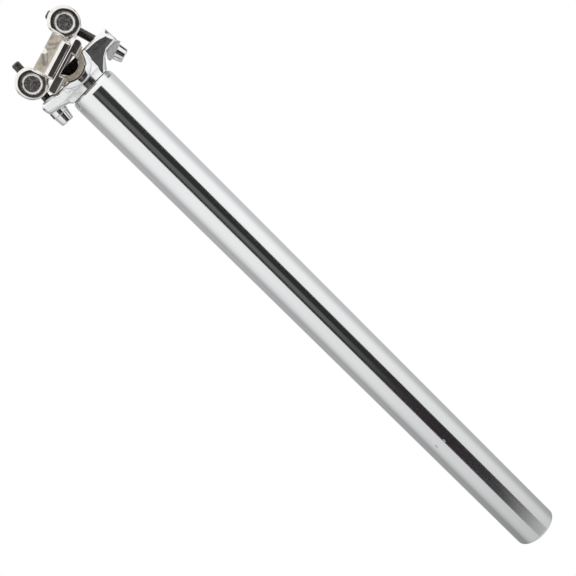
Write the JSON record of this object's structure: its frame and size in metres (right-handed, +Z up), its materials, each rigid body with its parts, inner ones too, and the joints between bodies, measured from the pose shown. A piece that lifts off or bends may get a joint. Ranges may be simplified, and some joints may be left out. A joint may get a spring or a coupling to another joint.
{
  "type": "bicycle seatpost",
  "caption": "Rigid aluminium bicycle seatpost whose bolted head has a rocking cradle and an upper clamp for round saddle rails.",
  "frame": {"origin": "centre of the tube's open lower end, on the tube's axis", "axes": "+Z up the tube to the saddle, +X to the bicycle's rear, +Y to its left"},
  "size_m": [0.0561, 0.0524, 0.413],
  "materials": {
    "tube_alloy": "polished and clear anodised",
    "head_alloy": "forged and polished",
    "clamp_alloy": "forged, satin, warm tint",
    "nut_steel": "turned, with dull end faces",
    "washer_steel": "matt plated",
    "bolt_chrome": "bright head, dark threads",
    "adhesive": "cured bonding resin"
  },
  "bodies": {
    "post": {"post_tube": "tube_alloy", "head": "head_alloy", "bond_layer": "adhesive"},
    "cradle": {"lower_cradle": "clamp_alloy"},
    "upper_clamp": {"upper_clamp": "clamp_alloy"},
    "front_nut": {"front_barrel_nut": "nut_steel"},
    "rear_nut": {"rear_barrel_nut": "nut_steel"},
    "front_washer": {"front_washer": "bolt_chrome"},
    "rear_washer": {"rear_washer": "washer_steel"},
    "front_bolt": {"front_bolt": "bolt_chrome"},
    "rear_bolt": {"rear_bolt": "bolt_chrome"}
  },
  "joints": [
    {"name": "clamp_tilt", "type": "hinge", "parent": "post", "child": "cradle", "pos_m": [-0.0004, 0, 0.3881], "axis": [0, -1, 0], "range_deg": [-7, 5]},
    {"name": "clamp_release", "type": "slide", "parent": "cradle", "child": "upper_clamp", "axis": [-0.1227, 0, 0.9924], "range_m": [0, 0.0015]},
    {"name": "front_nut_turn", "type": "hinge", "parent": "upper_clamp", "child": "front_nut", "pos_m": [-0.02, 0, 0.39254], "axis": [0, -1, 0], "range_deg": [-5, 7]},
    {"name": "rear_nut_turn", "type": "hinge", "parent": "upper_clamp", "child": "rear_nut", "pos_m": [0.01382, 0, 0.4023], "axis": [0, -1, 0], "range_deg": [-5, 7]},
    {"name": "front_washer_rock", "type": "hinge", "parent": "post", "child": "front_washer", "pos_m": [-0.02123, 0, 0.3705], "axis": [0, -1, 0], "range_deg": [-3, 3]},
    {"name": "rear_washer_rock", "type": "hinge", "parent": "post", "child": "rear_washer", "pos_m": [0.02321, 0, 0.37215], "axis": [0, -1, 0], "range_deg": [-3, 3]},
    {"name": "front_bolt_turn", "type": "hinge", "parent": "front_washer", "child": "front_bolt", "pos_m": [-0.02123, 0, 0.3705], "axis": [0.0558, 0, 0.9984], "continuous": true},
    {"name": "rear_bolt_turn", "type": "hinge", "parent": "rear_washer", "child": "rear_bolt", "pos_m": [0.02321, 0, 0.37215], "axis": [-0.2974, 0, 0.9548], "continuous": true}
  ],
  "couplings": [
    {"joint": "front_nut_turn", "follows": "clamp_tilt", "ratio": -0.845},
    {"joint": "rear_nut_turn", "follows": "clamp_tilt", "ratio": -0.71},
    {"joint": "front_washer_rock", "follows": "clamp_tilt", "ratio": 0.155},
    {"joint": "rear_washer_rock", "follows": "clamp_tilt", "ratio": 0.29}
  ]
}
